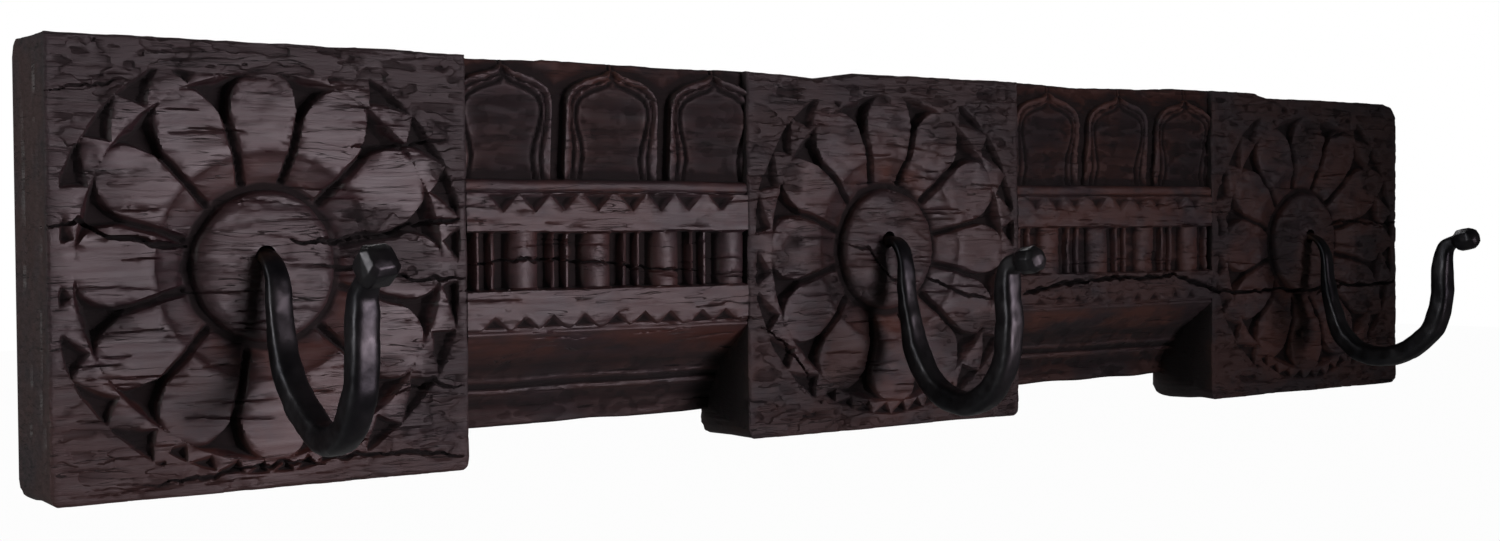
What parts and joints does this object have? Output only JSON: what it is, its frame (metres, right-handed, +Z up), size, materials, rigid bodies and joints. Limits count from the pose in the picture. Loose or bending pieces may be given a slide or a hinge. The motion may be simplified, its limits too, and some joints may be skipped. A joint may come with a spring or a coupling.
{
  "type": "wall coat rack",
  "caption": "Dark carved timber rack with rosette panels, arched and colonnaded recesses and forged iron J-hooks for coats, hung flat to a wall on keyhole plates.",
  "frame": {"origin": "centre of the flat back face that rests on the wall", "axes": "+X along the rack to the right as seen from the front, +Y into the wall, +Z up; the carved front faces -Y"},
  "size_m": [0.93, 0.167, 0.198],
  "materials": {
    "timber": "matte",
    "forged_iron": "satin",
    "zinc_steel": "satin"
  },
  "bodies": {
    "root": {"carved_board": "timber", "hook_left": "forged_iron", "hook_middle": "forged_iron", "hook_right": "forged_iron", "hook_washers": "zinc_steel", "hook_nuts": "zinc_steel", "hanger_left": "zinc_steel", "hanger_right": "zinc_steel", "hanger_screws": "zinc_steel"}
  },
  "joints": []
}
